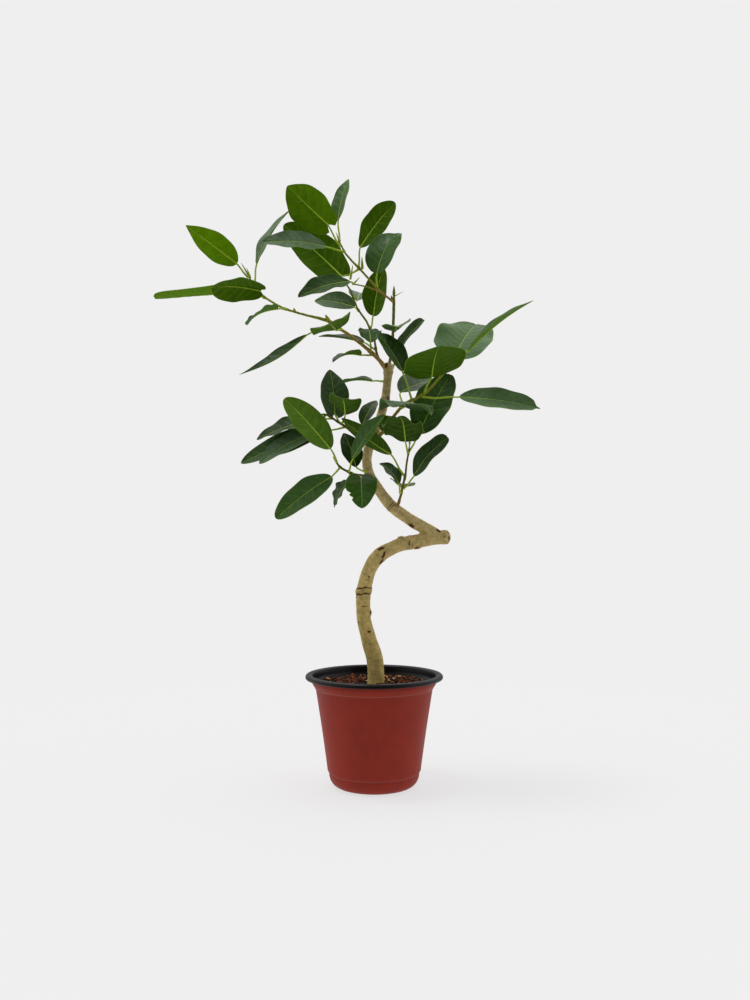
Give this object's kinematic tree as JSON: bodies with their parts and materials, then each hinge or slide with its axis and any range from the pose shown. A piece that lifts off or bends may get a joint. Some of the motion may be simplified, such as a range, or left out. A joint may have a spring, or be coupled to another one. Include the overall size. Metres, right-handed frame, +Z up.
{
  "type": "potted fig tree",
  "caption": "Small fig tree with a bare bent trunk and leafy side shoots, planted in a thin round plastic nursery pot; stands on its flat base.",
  "frame": {"origin": "centre of the pot's underside, where it stands", "axes": "+Z up along the pot and the tree; +Y towards the back, +X to the right as the tree is seen from the front"},
  "size_m": [0.4712, 0.2248, 0.7661],
  "materials": {
    "pot_red": "satin",
    "pot_black": "satin",
    "potting_mix": "rough",
    "bark": "matte",
    "shoot_bark": "satin",
    "leaf": "satin"
  },
  "bodies": {
    "root": {"nursery_pot": "pot_red", "potting_mix": "potting_mix", "trunk": "bark", "left_branch": "shoot_bark", "leader": "shoot_bark", "top_branch": "shoot_bark", "middle_branch": "shoot_bark", "right_branch": "shoot_bark", "low_right_shoot": "shoot_bark", "upper_left_shoot": "shoot_bark", "lower_left_shoot": "shoot_bark", "left_branch_leaf_1": "leaf", "left_branch_leaf_2": "leaf", "left_branch_leaf_3": "leaf", "left_branch_leaf_4": "leaf", "left_branch_leaf_5": "leaf", "left_branch_leaf_6": "leaf", "left_branch_leaf_7": "leaf", "left_branch_leaf_8": "leaf", "left_branch_leaf_9": "leaf", "leader_leaf_1": "leaf", "top_branch_leaf_1": "leaf", "top_branch_leaf_2": "leaf", "top_branch_leaf_3": "leaf", "top_branch_leaf_4": "leaf", "top_branch_leaf_5": "leaf", "top_branch_leaf_6": "leaf", "top_twig_leaf_1": "leaf", "middle_branch_leaf_1": "leaf", "middle_branch_leaf_2": "leaf", "middle_branch_leaf_3": "leaf", "middle_branch_leaf_4": "leaf", "right_branch_leaf_1": "leaf", "right_branch_leaf_2": "leaf", "right_branch_leaf_3": "leaf", "right_branch_leaf_4": "leaf", "right_branch_leaf_5": "leaf", "right_branch_leaf_6": "leaf", "right_branch_leaf_7": "leaf", "low_right_shoot_leaf_1": "leaf", "low_right_shoot_leaf_2": "leaf", "low_right_shoot_leaf_3": "leaf", "low_right_shoot_leaf_4": "leaf", "low_right_shoot_leaf_5": "leaf", "low_right_shoot_leaf_6": "leaf", "lower_left_shoot_leaf_1": "leaf", "lower_left_shoot_leaf_2": "leaf", "lower_left_shoot_leaf_3": "leaf", "lower_left_shoot_leaf_4": "leaf", "lower_left_shoot_leaf_5": "leaf", "upper_left_shoot_leaf_1": "leaf", "upper_left_shoot_leaf_2": "leaf", "upper_left_shoot_leaf_3": "leaf", "upper_left_shoot_leaf_4": "leaf", "upper_left_shoot_leaf_5": "leaf", "trunk_leaf_1": "leaf", "trunk_leaf_2": "leaf", "trunk_leaf_3": "leaf", "trunk_leaf_4": "leaf", "trunk_leaf_5": "leaf"}
  },
  "joints": []
}
